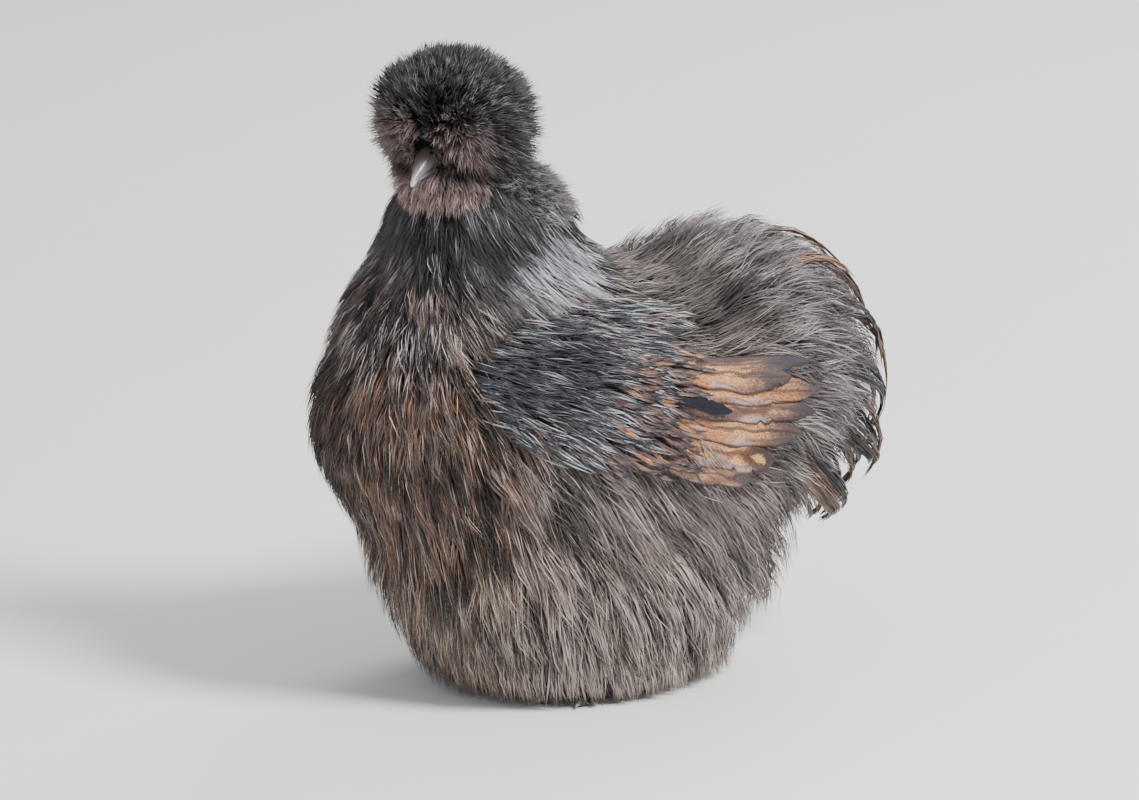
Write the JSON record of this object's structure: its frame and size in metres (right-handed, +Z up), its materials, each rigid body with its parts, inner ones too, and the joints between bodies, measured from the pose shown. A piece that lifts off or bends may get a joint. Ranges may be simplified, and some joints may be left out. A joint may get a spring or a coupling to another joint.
{
  "type": "silkie chicken",
  "caption": "Life-size still model of a standing silkie hen with a round crest, beard, hair-like coat, folded wings, cushion tail and five-toed feathered feet.",
  "frame": {"origin": "on the floor, under the middle of the hen's box", "axes": "+Z up, the hen faces -Y, her left side is at +X"},
  "size_m": [0.1886, 0.3128, 0.3245],
  "materials": {
    "coat": "soft matt hair-like feathering, dark grey brown",
    "wing_coat": "matt feather, dark with mottled rust brown flight feathers",
    "dark_skin": "dull blue black bare skin",
    "horn": "smooth slate horn with a pale tip",
    "eye": "wet dark brown"
  },
  "bodies": {
    "root": {"beak_lower": "horn", "beak_upper": "horn", "beard": "coat", "claw_left_fifth": "horn", "claw_left_hind": "horn", "claw_left_inner": "horn", "claw_left_middle": "horn", "claw_left_outer": "horn", "claw_right_fifth": "horn", "claw_right_hind": "horn", "claw_right_inner": "horn", "claw_right_middle": "horn", "claw_right_outer": "horn", "comb": "dark_skin", "crest": "coat", "earlobe_left": "dark_skin", "earlobe_right": "dark_skin", "eye_left": "eye", "eye_right": "eye", "foot_left": "dark_skin", "foot_right": "dark_skin", "head": "coat", "leg_left": "coat", "leg_right": "coat", "neck": "coat", "tail": "coat", "torso": "coat", "wattle_left": "dark_skin", "wattle_right": "dark_skin", "wing_left": "wing_coat", "wing_right": "wing_coat"}
  },
  "joints": []
}
